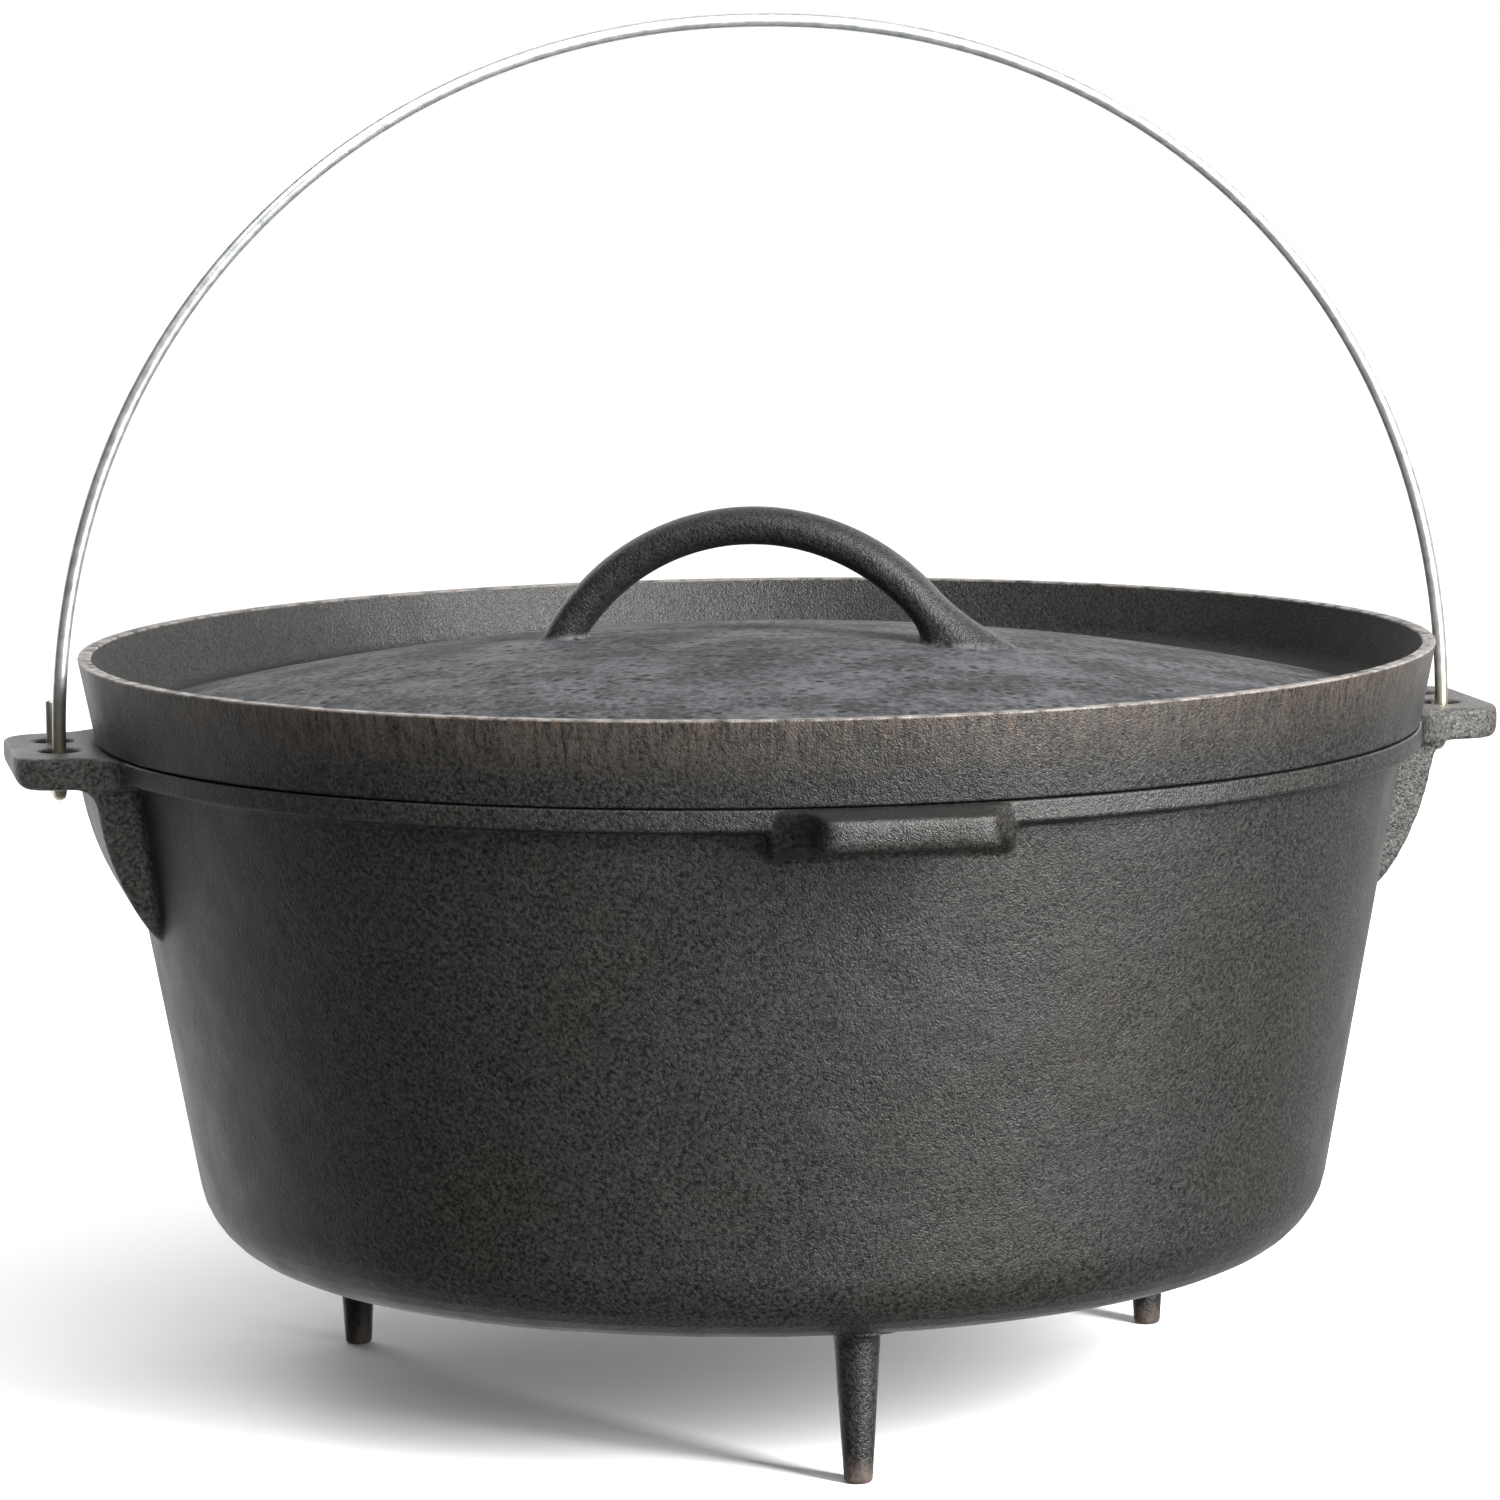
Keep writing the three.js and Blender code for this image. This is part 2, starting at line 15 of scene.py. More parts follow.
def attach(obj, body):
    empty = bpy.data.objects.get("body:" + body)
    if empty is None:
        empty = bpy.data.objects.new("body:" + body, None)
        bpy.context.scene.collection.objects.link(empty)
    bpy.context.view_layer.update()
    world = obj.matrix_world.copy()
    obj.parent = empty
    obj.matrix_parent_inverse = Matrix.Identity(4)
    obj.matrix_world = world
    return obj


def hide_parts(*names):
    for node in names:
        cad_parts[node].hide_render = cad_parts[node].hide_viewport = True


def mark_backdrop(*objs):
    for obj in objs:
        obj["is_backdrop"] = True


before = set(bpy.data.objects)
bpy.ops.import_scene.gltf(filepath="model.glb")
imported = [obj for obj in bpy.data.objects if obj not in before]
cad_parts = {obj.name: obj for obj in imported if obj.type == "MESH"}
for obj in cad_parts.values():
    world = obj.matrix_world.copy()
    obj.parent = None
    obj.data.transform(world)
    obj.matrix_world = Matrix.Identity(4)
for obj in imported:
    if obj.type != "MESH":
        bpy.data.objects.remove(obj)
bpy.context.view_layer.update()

MM = 0.001

# ------------------------------------------------------------------ sizes, as in the CAD source

LEG_HEIGHT = 36.7
POT_DEPTH = 127.6
POT_TOP_RADIUS = 158.3
WALL_SLOPE = math.tan(math.radians(10.2))
POT_CORNER_RADIUS = 21.0
WALL_THICKNESS = 5.2
FLOOR_THICKNESS = 5.5
BAND_PROUD = 4.8
BAND_HEIGHT = 5.8
MOUTH_INSET = 10.1

LEG_INSET = 23.4
LEG_ANGLES = (-90, 18, 147)
LEG_TIP_RADIUS = 3.3
LEG_ROOT_RADIUS = 5.6
LEG_TIP_ROUND = 1.1
LEG_ROOT_FILLET = 3.2
LEG_ROOT_SINK = 0.4

EAR_RISE = 0.7
EAR_THICKNESS = 7.8

LID_SEAT_GAP = 0.3
LID_INSET = 0.5
LID_FLANGE_FLARE = 3.9
LID_FLANGE_HEIGHT = 20.05
LID_FLANGE_TOP_THICKNESS = 3.2
LID_FLANGE_BASE_THICKNESS = 4.3
LID_PLATE_THICKNESS = 5.0
DOME_ABOVE_RIM = 1.7
FLANGE_FILLET = 5.3
BEAD_DEPTH = 2.4
BEAD_MOUTH_GAP = 1.6
BEAD_WIDTH = 4.5

HANDLE_ARC_RADIUS = 57.0
HANDLE_TOP_ABOVE_RIM = 33.3
HANDLE_TURN = math.radians(-24.4)
HANDLE_BAR = (9.4, 12.5)  # height in the arc's plane, and width across it
HANDLE_SLIM_FOOT = (8.4, 13.5)
HANDLE_BROAD_FOOT = (29.0, 20.0)
HANDLE_FLARE_LENGTH = 20.0
HANDLE_FOOT_SINK = 6.2

WIRE_RADIUS = 1.65
BAIL_LID_GAP = 4.35
BAIL_RISE = 171.6
BAIL_FULLNESS = 2.085
HOOK_SPACING = 21.0
HOOK_BEND_RADIUS = 4.2
HOOK_SLACK = 1.7
STUB_HEIGHT = 9.8

RIM_Z = LEG_HEIGHT + POT_DEPTH
BAND_RADIUS = POT_TOP_RADIUS + BAND_PROUD
BAND_BOTTOM_Z = RIM_Z - BAND_HEIGHT
MOUTH_RADIUS = BAND_RADIUS - MOUTH_INSET
SEAT_Z = RIM_Z + LID_SEAT_GAP
LID_RIM_Z = SEAT_Z + LID_FLANGE_HEIGHT
LID_BASE_RADIUS = BAND_RADIUS - LID_INSET
LID_RIM_RADIUS = LID_BASE_RADIUS + LID_FLANGE_FLARE
DOME_EDGE_RADIUS = LID_BASE_RADIUS - LID_FLANGE_BASE_THICKNESS - FLANGE_FILLET
DOME_EDGE_Z = SEAT_Z + LID_PLATE_THICKNESS
CROWN_Z = LID_RIM_Z + DOME_ABOVE_RIM
DOME_RISE = CROWN_Z - DOME_EDGE_Z
DOME_RADIUS = (DOME_EDGE_RADIUS**2 + DOME_RISE**2) / (2 * DOME_RISE)
BAIL_HALF_SPAN = LID_RIM_RADIUS + BAIL_LID_GAP + WIRE_RADIUS
EAR_TOP_Z = RIM_Z + EAR_RISE
EAR_BOTTOM_Z = EAR_TOP_Z - EAR_THICKNESS
HINGE_Z = (EAR_TOP_Z + EAR_BOTTOM_Z) / 2
HOOK_CROSS_Z = EAR_BOTTOM_Z - HOOK_SLACK - WIRE_RADIUS


def wall_radius(z):
    """Outside radius of the pot's wall at height z."""
    return POT_TOP_RADIUS - (BAND_BOTTOM_Z - z) * WALL_SLOPE


def dome_z(radius):
    """Height of the lid's domed upper surface at a radius."""
    return CROWN_Z - (DOME_RADIUS - math.sqrt(DOME_RADIUS**2 - radius**2))


# ------------------------------------------------------------------ mesh helpers

LATHE_SEGMENTS = 288
ROUND_STEP = math.radians(11)  # of an arc in a turned outline
SUPPORT = 0.35  # mm from an arc's end to the row that keeps the flat beside it flat
VOXEL = 0.8
SMOOTH_PASSES = 14
SINK = 0.2  # mm that a cast block's copy of the wall lies under the turned wall
ON_AXIS = 1e-6  # mm
WELD = 1e-6  # metres


def rounded(corners):
    """An outline of (radius, height, rounding) corners with each rounded corner as an arc."""
    points = []
    last = len(corners) - 1
    for i, (r, z, rounding) in enumerate(corners):
        here = Vector((r, z))
        if rounding == 0 or i in (0, last):
            points.append(here)
            continue
        a = (Vector(corners[i - 1][:2]) - here).normalized()
        b = (Vector(corners[i + 1][:2]) - here).normalized()
        half = a.angle(b) / 2
        reach = rounding / math.tan(half)
        centre = here + (a + b).normalized() * (rounding / math.sin(half))
        start = here + a * reach - centre
        end = here + b * reach - centre
        turn = math.atan2(start.x * end.y - start.y * end.x, start.dot(end))
        steps = max(2, math.ceil(abs(turn) / ROUND_STEP))
        points.append(here + a * (reach + SUPPORT))
        for k in range(steps + 1):
            angle = turn * k / steps
            points.append(centre + Matrix.Rotation(angle, 2) @ start)
        points.append(here + b * (reach + SUPPORT))
    return points


def divided(points, longest):
    """The outline with its long stretches divided."""
    result = [points[0]]
    for a, b in zip(points, points[1:]):
        pieces = max(1, math.ceil((b - a).length / longest))
        result += [a.lerp(b, k / pieces) for k in range(1, pieces + 1)]
    return result


def mesh_from(name, vertices, faces):
    """A mesh in metres from points in millimetres, its faces turned outwards."""
    mesh = bpy.data.meshes.new(name)
    mesh.from_pydata([Vector(v) * MM for v in vertices], [], faces)
    work = bmesh.new()
    work.from_mesh(mesh)
    bmesh.ops.recalc_face_normals(work, faces=work.faces)
    work.to_mesh(mesh)
    work.free()
    return mesh


def turned(name, outline, segments=LATHE_SEGMENTS):
    """A closed body of revolution about Z, from an outline that starts and ends on the axis."""
    vertices = []
    rows = []
    for point in outline:
        if point.x < ON_AXIS:
            rows.append([len(vertices)])
            vertices.append((0, 0, point.y))
            continue
        rows.append(list(range(len(vertices), len(vertices) + segments)))
        for k in range(segments):
            angle = 2 * math.pi * k / segments
            vertices.append((point.x * math.cos(angle), point.x * math.sin(angle), point.y))
    faces = []
    for lower, upper in zip(rows, rows[1:]):
        for k in range(segments):
            ring = (lower[k % len(lower)], lower[(k + 1) % segments % len(lower)],
                    upper[(k + 1) % segments % len(upper)], upper[k % len(upper)])
            corners = list(dict.fromkeys(ring))
            if len(corners) > 2:
                faces.append(corners)
    return mesh_from(name, vertices, faces)


def swept(name, points, first_side, sides, half_sizes, power=1.0):
    """A closed bar along points. half_sizes[i] is the section's (side, up) half-sizes at point i.

    power under 1 squares the oval section a little.
    """
    points = [Vector(p) for p in points]
    side = Vector(first_side)
    vertices = []
    for i, point in enumerate(points):
        ahead = points[min(i + 1, len(points) - 1)]
        behind = points[max(i - 1, 0)]
        tangent = (ahead - behind).normalized()
        side = (side - tangent * side.dot(tangent)).normalized()
        up = tangent.cross(side)
        across, high = half_sizes[i]
        for k in range(sides):
            angle = 2 * math.pi * k / sides
            c, s = math.cos(angle), math.sin(angle)
            x = math.copysign(abs(c) ** power, c) * across
            y = math.copysign(abs(s) ** power, s) * high
            vertices.append(point + side * x + up * y)
    faces = [list(range(sides)), list(range(len(vertices) - sides, len(vertices)))]
    for i in range(len(points) - 1):
        for k in range(sides):
            n = (k + 1) % sides
            faces.append((i * sides + k, i * sides + n, (i + 1) * sides + n, (i + 1) * sides + k))
    return mesh_from(name, vertices, faces)


def object_from(mesh):
    """A new object that shows a mesh."""
    made = bpy.data.objects.new(mesh.name, mesh)
    bpy.context.scene.collection.objects.link(made)
    return made


def settled(target, *helpers):
    """Applies an object's modifiers to its mesh and removes the helper objects."""
    bpy.context.view_layer.update()
    graph = bpy.context.evaluated_depsgraph_get()
    mesh = bpy.data.meshes.new_from_object(target.evaluated_get(graph))
    target.modifiers.clear()
    old = target.data
    target.data = mesh
    bpy.data.meshes.remove(old)
    for helper in helpers:
        bpy.data.objects.remove(helper)
    return target


def combined(target, other, operation):
    """The union, difference or intersection of two closed objects, kept in the first."""
    modifier = target.modifiers.new("boolean", "BOOLEAN")
    modifier.operation = operation
    modifier.solver = "MANIFOLD"
    modifier.object = other
    return settled(target, other)


def box_object(low, high):
    """A plain box between two corners, in millimetres, used only to cut with."""
    x, y, z = zip(low, high)
    vertices = [(x[i], y[j], z[k]) for i in (0, 1) for j in (0, 1) for k in (0, 1)]
    faces = [(0, 1, 3, 2), (4, 6, 7, 5), (0, 4, 5, 1), (2, 3, 7, 6), (0, 2, 6, 4), (1, 5, 7, 3)]
    return object_from(mesh_from("cutter", vertices, faces))


def sand_cast(target, voxel=VOXEL, passes=SMOOTH_PASSES):
    """Remeshes a closed object finely and softens it, which rounds edges and fills corners."""
    remesh = target.modifiers.new("remesh", "REMESH")
    remesh.mode = "VOXEL"
    remesh.voxel_size = voxel * MM
    smooth = target.modifiers.new("smooth", "SMOOTH")
    smooth.factor = 0.5
    smooth.iterations = passes
    return settled(target)


def cast_copy(node, low, high):
    """A softened copy of what a CAD node has between two corners, sunk by SINK."""
    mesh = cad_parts[node].data.copy()
    work = bmesh.new()
    work.from_mesh(mesh)
    bmesh.ops.remove_doubles(work, verts=work.verts, dist=WELD)
    inwards = 1 - SINK / BAND_RADIUS
    bmesh.ops.scale(work, vec=(inwards, inwards, 1), verts=work.verts)
    bmesh.ops.translate(work, vec=(0, 0, -SINK / 2 * MM), verts=work.verts)
    work.to_mesh(mesh)
    work.free()
    block = combined(object_from(mesh), box_object(low, high), "INTERSECT")
    return sand_cast(block)


def finished(target, name, body, material, sharp=50):
    """Names a piece, shades it and says what it rides on."""
    target.name = name
    target.data.name = name
    target.data.materials.clear()
    target.data.materials.append(material)
    target.data.polygons.foreach_set("use_smooth", [True] * len(target.data.polygons))
    target.data.polygons.foreach_set("material_index", [0] * len(target.data.polygons))
    target.data.set_sharp_from_angle(angle=math.radians(sharp))
    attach(target, body)
    return target


# ------------------------------------------------------------------ pot

WALL_ROW = 3.0  # mm between rows on the wall, so that the cast blocks join it cleanly
LEG_SEGMENTS = 64

# Where the blocks with the ears and the tab are cut out of the CAD pot
BLOCK_INSIDE = 130
BLOCK_OUTSIDE = 200
BLOCK_TOP = EAR_TOP_Z + EAR_THICKNESS
EAR_BLOCK_HALF_WIDTH = 62
EAR_BLOCK_FOOT = EAR_BOTTOM_Z - 62
TAB_BLOCK_HALF_WIDTH = 48
TAB_BLOCK_FOOT = RIM_Z - 30
CORE_FOOT = EAR_BLOCK_FOOT - 8


def pot_outline():
    """The turned outline of the pot: bottom, wall, rim band, mouth and inside."""
    floor_z = LEG_HEIGHT + FLOOR_THICKNESS
    inner = WALL_THICKNESS / math.cos(math.atan(WALL_SLOPE))
    neck_z = BAND_BOTTOM_Z - BAND_HEIGHT
    # Radius, height and rounding of each corner
    corners = [
        (0, LEG_HEIGHT, 0),
        (wall_radius(LEG_HEIGHT), LEG_HEIGHT, POT_CORNER_RADIUS),
        (POT_TOP_RADIUS, BAND_BOTTOM_Z, 1.3),
        (BAND_RADIUS, BAND_BOTTOM_Z + 0.9, 0.9),
        (BAND_RADIUS, RIM_Z, 0.5),
        (MOUTH_RADIUS, RIM_Z, 1.0),
        (MOUTH_RADIUS, BAND_BOTTOM_Z, 6.0),
        (wall_radius(neck_z) - inner, neck_z, 8.0),
        (wall_radius(floor_z) - inner, floor_z, POT_CORNER_RADIUS - WALL_THICKNESS),
        (0, floor_z, 0),
    ]
    return divided(rounded(corners), WALL_ROW)


def pot_core():
    """Everything inside the middle of the pot's wall, to trim the cast blocks with."""
    keep = WALL_THICKNESS / 2
    corners = [
        (0, CORE_FOOT, 0),
        (wall_radius(CORE_FOOT) - keep, CORE_FOOT, 0),
        (POT_TOP_RADIUS - keep, BAND_BOTTOM_Z, 0),
        (POT_TOP_RADIUS - keep, BLOCK_TOP, 0),
        (0, BLOCK_TOP, 0),
    ]
    return object_from(turned("core", rounded(corners)))


def leg_mesh(angle):
    """One tapered leg with a rounded tip and a fillet at its root."""
    top_z = LEG_HEIGHT + FLOOR_THICKNESS / 2
    root_radius = LEG_ROOT_RADIUS + 2 * LEG_ROOT_FILLET
    corners = [
        (0, 0, 0),
        (LEG_TIP_RADIUS, 0, LEG_TIP_ROUND),
        (LEG_ROOT_RADIUS, LEG_HEIGHT, LEG_ROOT_FILLET),
        (root_radius, LEG_HEIGHT + LEG_ROOT_SINK, 0),
        (root_radius, top_z, 0),
        (0, top_z, 0),
    ]
    mesh = turned("leg", divided(rounded(corners), WALL_ROW), segments=LEG_SEGMENTS)
    radius = wall_radius(LEG_HEIGHT) - LEG_INSET
    place = Vector((radius * math.cos(angle), radius * math.sin(angle), 0)) * MM
    mesh.transform(Matrix.Translation(place))
    return mesh


def pot_piece(material):
    """The pot: its turned body with the ears, the tab and the legs cast on."""
    pot = object_from(turned("pot_casting", pot_outline()))
    blocks = []
    for side in (-1, 1):
        near, far = sorted((side * BLOCK_INSIDE, side * BLOCK_OUTSIDE))
        low = (near, -EAR_BLOCK_HALF_WIDTH, EAR_BLOCK_FOOT)
        high = (far, EAR_BLOCK_HALF_WIDTH, BLOCK_TOP)
        blocks.append(cast_copy("pot", low, high))
    low = (-TAB_BLOCK_HALF_WIDTH, -BLOCK_OUTSIDE, TAB_BLOCK_FOOT)
    high = (TAB_BLOCK_HALF_WIDTH, -BLOCK_INSIDE, BLOCK_TOP)
    blocks.append(cast_copy("pot", low, high))
    for block in blocks:
        pot = combined(pot, combined(block, pot_core(), "DIFFERENCE"), "UNION")
    for angle in LEG_ANGLES:
        pot = combined(pot, object_from(leg_mesh(math.radians(angle))), "UNION")
    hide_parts("pot")
    return finished(pot, "pot_casting", "pot_body", material)


# ------------------------------------------------------------------ lid

DOME_ROWS = 24
LID_ROW = 5.0  # mm between rows on the lid
HANDLE_STEPS = 96
HANDLE_SIDES = 40
HANDLE_SQUARENESS = 0.9  # power of the handle's section, 1 is an oval
HANDLE_VOXEL = 0.7
HANDLE_SMOOTH_PASSES = 7
DISC_MARGIN = 22  # of the dome round the handle's feet
DISC_ROWS = 8
DISC_BOTTOM_Z = DOME_EDGE_Z - 8
UNDER_MARGIN = 5  # of the trimming body round the disc and below it


def lid_outline():
    """The turned outline of the lid: domed plate, flange and locating bead."""
    bead_outer = MOUTH_RADIUS - BEAD_MOUTH_GAP
    bead_inner = bead_outer - BEAD_DEPTH - BEAD_WIDTH
    under_edge = bead_inner - BEAD_DEPTH
    under = [under_edge * k / DOME_ROWS for k in range(DOME_ROWS + 1)]
    dome = [DOME_EDGE_RADIUS * k / DOME_ROWS for k in range(DOME_ROWS, -1, -1)]
    # Radius, height and rounding of each corner
    corners = [(r, dome_z(r) - LID_PLATE_THICKNESS, 0) for r in under]
    corners += [
        (bead_inner, SEAT_Z - BEAD_DEPTH, 0.8),
        (bead_outer - BEAD_DEPTH, SEAT_Z - BEAD_DEPTH, 0.8),
        (bead_outer, SEAT_Z, 0.8),
        (LID_BASE_RADIUS, SEAT_Z, 0.7),
        (LID_RIM_RADIUS, LID_RIM_Z, 0.3),
        (LID_RIM_RADIUS - LID_FLANGE_TOP_THICKNESS, LID_RIM_Z, 0.5),
        (LID_BASE_RADIUS - LID_FLANGE_BASE_THICKNESS, DOME_EDGE_Z, FLANGE_FILLET - 0.5),
    ]
    corners += [(r, dome_z(r), 0) for r in dome]
    return divided(rounded(corners), LID_ROW)


def handle_arc():
    """Points of the handle's middle line in its own XZ plane, and the line's length."""
    centre_z = LID_RIM_Z + HANDLE_TOP_ABOVE_RIM - HANDLE_BAR[0] / 2 - HANDLE_ARC_RADIUS
    foot_z = dome_z(HANDLE_ARC_RADIUS) - HANDLE_FOOT_SINK
    foot = math.asin((foot_z - centre_z) / HANDLE_ARC_RADIUS)
    points = []
    for i in range(HANDLE_STEPS + 1):
        angle = math.pi - foot - (math.pi - 2 * foot) * i / HANDLE_STEPS
        height = centre_z + HANDLE_ARC_RADIUS * math.sin(angle)
        points.append((HANDLE_ARC_RADIUS * math.cos(angle), 0, height))
    return points, HANDLE_ARC_RADIUS * (math.pi - 2 * foot)


def handle_block():
    """The arched handle on a disc of the dome, softened into one casting."""
    points, length = handle_arc()
    sizes = []
    for i in range(HANDLE_STEPS + 1):
        along = i / HANDLE_STEPS * length
        slim = max(0.0, 1 - along / HANDLE_FLARE_LENGTH) ** 2
        broad = max(0.0, 1 - (length - along) / HANDLE_FLARE_LENGTH) ** 2
        height, width = (
            bar + slim * (slim_foot - bar) + broad * (broad_foot - bar)
            for bar, slim_foot, broad_foot in zip(HANDLE_BAR, HANDLE_SLIM_FOOT, HANDLE_BROAD_FOOT)
        )
        sizes.append((width / 2, height / 2))
    bar = object_from(swept("handle", points, (0, 1, 0), HANDLE_SIDES, sizes, HANDLE_SQUARENESS))
    disc_radius = HANDLE_ARC_RADIUS + DISC_MARGIN
    rows = [disc_radius * k / DISC_ROWS for k in range(DISC_ROWS, -1, -1)]
    corners = [(0, DISC_BOTTOM_Z, 0), (disc_radius, DISC_BOTTOM_Z, 0)]
    corners += [(r, dome_z(r) - SINK, 0) for r in rows]
    bar = combined(bar, object_from(turned("disc", rounded(corners))), "UNION")
    bar = sand_cast(bar, HANDLE_VOXEL, HANDLE_SMOOTH_PASSES)

    # Only what stands above the middle of the plate is kept.
    under_radius = disc_radius + UNDER_MARGIN
    under_z = DISC_BOTTOM_Z - UNDER_MARGIN
    under = [(0, under_z, 0), (under_radius, under_z, 0)]
    under += [(r, dome_z(r) - LID_PLATE_THICKNESS / 2, 0) for r in (under_radius, disc_radius / 2, 0)]
    bar = combined(bar, object_from(turned("under", rounded(under))), "DIFFERENCE")
    bar.data.transform(Matrix.Rotation(HANDLE_TURN, 4, "Z"))
    return bar


def lid_piece(material):
    """The lid: its turned plate and flange with the handle cast on."""
    lid = object_from(turned("lid_casting", lid_outline()))
    lid = combined(lid, handle_block(), "UNION")
    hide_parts("lid")
    return finished(lid, "lid_casting", "lid_body", material)


# ------------------------------------------------------------------ bail

WIRE_SIDES = 28
ARCH_STEPS = 220
HOOK_STEPS = 12
END_ROWS = (0, 0.15, 0.5)  # mm from the wire's cut end
END_SHARES = (0.72, 0.9)  # of the wire's radius, at the cut end and at the next row


def hook_points(side):
    """Middle line of one hooked end, from its free end round under the ear and up."""
    x = side * BAIL_HALF_SPAN
    back = HOOK_SPACING / 2
    bend_z = HOOK_CROSS_Z + HOOK_BEND_RADIUS
    free_end = EAR_TOP_Z + STUB_HEIGHT
    points = [(x, back, free_end - drop) for drop in END_ROWS]
    points += [(x, back, z) for z in (EAR_TOP_Z, HINGE_Z)]
    for end in (1, -1):
        for i in range(HOOK_STEPS + 1):
            turn = (i if end > 0 else HOOK_STEPS - i) / HOOK_STEPS * math.pi / 2
            y = end * (back - HOOK_BEND_RADIUS + HOOK_BEND_RADIUS * math.cos(turn))
            points.append((x, y, bend_z - HOOK_BEND_RADIUS * math.sin(turn)))
    points.append((x, -back, HINGE_Z))
    return points


def arch_points():
    """Middle line of the arch, from the +X ear over to the -X ear."""
    power = 2 / BAIL_FULLNESS
    points = []
    for i in range(ARCH_STEPS + 1):
        angle = math.pi * i / ARCH_STEPS
        across = math.copysign(abs(math.cos(angle)) ** power, math.cos(angle))
        height = EAR_TOP_Z + BAIL_RISE * max(math.sin(angle), 0) ** power
        points.append((BAIL_HALF_SPAN * across, -HOOK_SPACING / 2, height))
    return points


def bail_piece(material):
    """The bail: one bent wire with its cut ends slightly rounded."""
    points = hook_points(1) + arch_points() + hook_points(-1)[::-1]
    sizes = [(WIRE_RADIUS, WIRE_RADIUS)] * len(points)
    for row, share in enumerate(END_SHARES):
        sizes[row] = (WIRE_RADIUS * share, WIRE_RADIUS * share)
        sizes[-1 - row] = sizes[row]
    wire = object_from(swept("bail_wire", points, (1, 0, 0), WIRE_SIDES, sizes))
    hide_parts("bail")
    return finished(wire, "bail_wire", "bail_body", material, sharp=60)


# ------------------------------------------------------------------ materials

# Linear colours. A pair is the dark and the light end of a mottled surface.
SEASONED_BLACK = ((0.002, 0.002, 0.002), (0.019, 0.0185, 0.017))
SEASONED_BROWN = ((0.002, 0.002, 0.0015), (0.021, 0.0185, 0.0155))
SAND_SKIN = ((0.008, 0.0077, 0.007), (0.058, 0.056, 0.051))
RUST = ((0.018, 0.012, 0.009), (0.085, 0.060, 0.048))
# The dome's mottled stains, lifted lighter and bluish grey as a painted sheen
DOME_STAINS_AND_PAINTED_SHEEN = ((0.007, 0.0073, 0.0085), (0.056, 0.057, 0.062))
PIT = (0.001, 0.001, 0.001)
FLANGE_BROWN = (0.050, 0.036, 0.026)
# Painted highlight for the lid's top edge
TOP_EDGE_HIGHLIGHT = (0.13, 0.115, 0.105)
ZINC = ((0.50, 0.53, 0.51), (0.74, 0.76, 0.73))
BRASS = (0.50, 0.42, 0.28)

IRON_IOR = 1.38
IRON_ROUGHNESS = (0.37, 0.46)
RUST_ROUGHNESS = 0.8
DOME_ROUGHNESS = (0.80, 0.62)
PIT_ROUGHNESS = 0.9
# Roughness under the painted highlight on the lid's top edge
TOP_EDGE_ROUGHNESS = 0.36
INNER_WALL_ROUGHNESS = (0.78, 0.36)
WIRE_ROUGHNESS = (0.26, 0.40)
GRAIN_DEPTH = 0.62  # mm
WIRE_CLOUD_DEPTH = 0.006  # mm
GRAIN_TILT = (0.7, 0.5, 0.4)  # radians about each axis
COARSE_SHARE = 0.3  # of the coarse and the fine grain in the skin's height
FINE_SHARE = 0.42
LUG_GRAIN = 1.5  # the ears' grain against the wall's
DOME_GRAIN = 0.8  # the dome's grain against the wall's
PIT_RELIEF = 0.45
STREAK_RELIEF = 0.25
STREAK_STRETCH = 0.04  # the streaks' pace up the flange against that around it
TONE_RANGE = (0.35, 0.7)  # of a noise, from its dark to its light colour
SLOW_RANGE = (0.3, 0.7)
RUST_WANDER = 9.0  # mm
RUST_HEIGHTS = (11.0, 4.5)  # mm, where rust begins and where it is full
BRASS_HEIGHTS = (182.0, 166.0)
WIRE_METALLIC = 0.92


